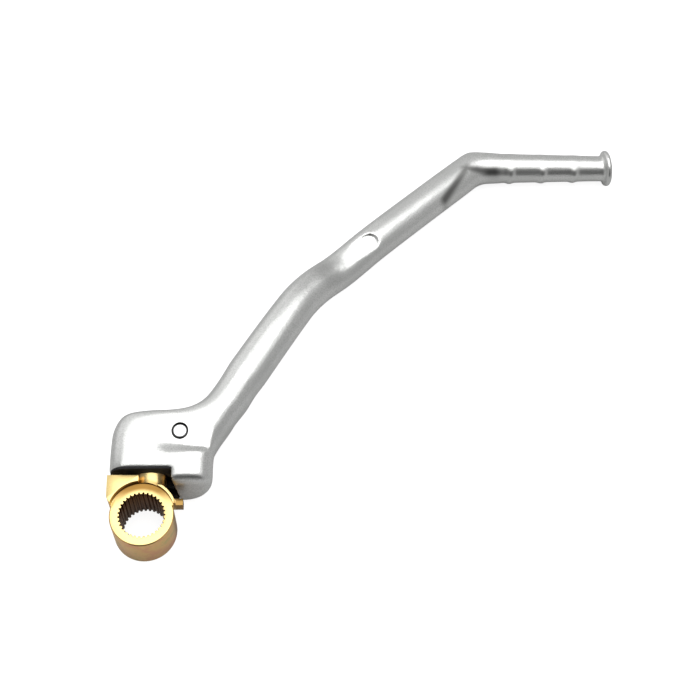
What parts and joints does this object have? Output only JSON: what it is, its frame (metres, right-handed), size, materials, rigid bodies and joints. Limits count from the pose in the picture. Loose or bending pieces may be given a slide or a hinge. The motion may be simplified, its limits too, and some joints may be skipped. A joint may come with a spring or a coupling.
{
  "type": "folding kick starter lever",
  "caption": "Folding kick starter lever: splined steel boss for a kick shaft, and a cranked forged lever with a ribbed foot peg that swings out on the boss's pivot pin.",
  "frame": {"origin": "on the spline axis, at the boss's rear face", "axes": "+Z along the spline axis, outboard; +Y along the pivot pin, from the splines to the lever's head; +X along the folded foot peg"},
  "size_m": [0.2592, 0.2258, 0.0315],
  "materials": {
    "gold_zinc_steel": "steel with yellow zinc plating, satin, iridescent",
    "blasted_aluminium": "forged aluminium, fine blasted and polished to a silver satin",
    "bright_steel": "ground steel",
    "spring_steel": "dark drawn steel",
    "black_rubber": "black rubber"
  },
  "bodies": {
    "boss": {"splined_boss": "gold_zinc_steel", "pivot_o_ring": "black_rubber"},
    "lever": {"lever_arm": "blasted_aluminium", "retaining_pin": "bright_steel", "detent_ball": "bright_steel", "detent_spring": "spring_steel", "detent_plug": "spring_steel", "dust_seal": "black_rubber"}
  },
  "joints": [
    {"name": "arm_fold", "type": "hinge", "parent": "boss", "child": "lever", "pos_m": [0.0035, 0.0349, 0.0165], "axis": [0, -1, 0], "range_deg": [0, 84.5]}
  ]
}
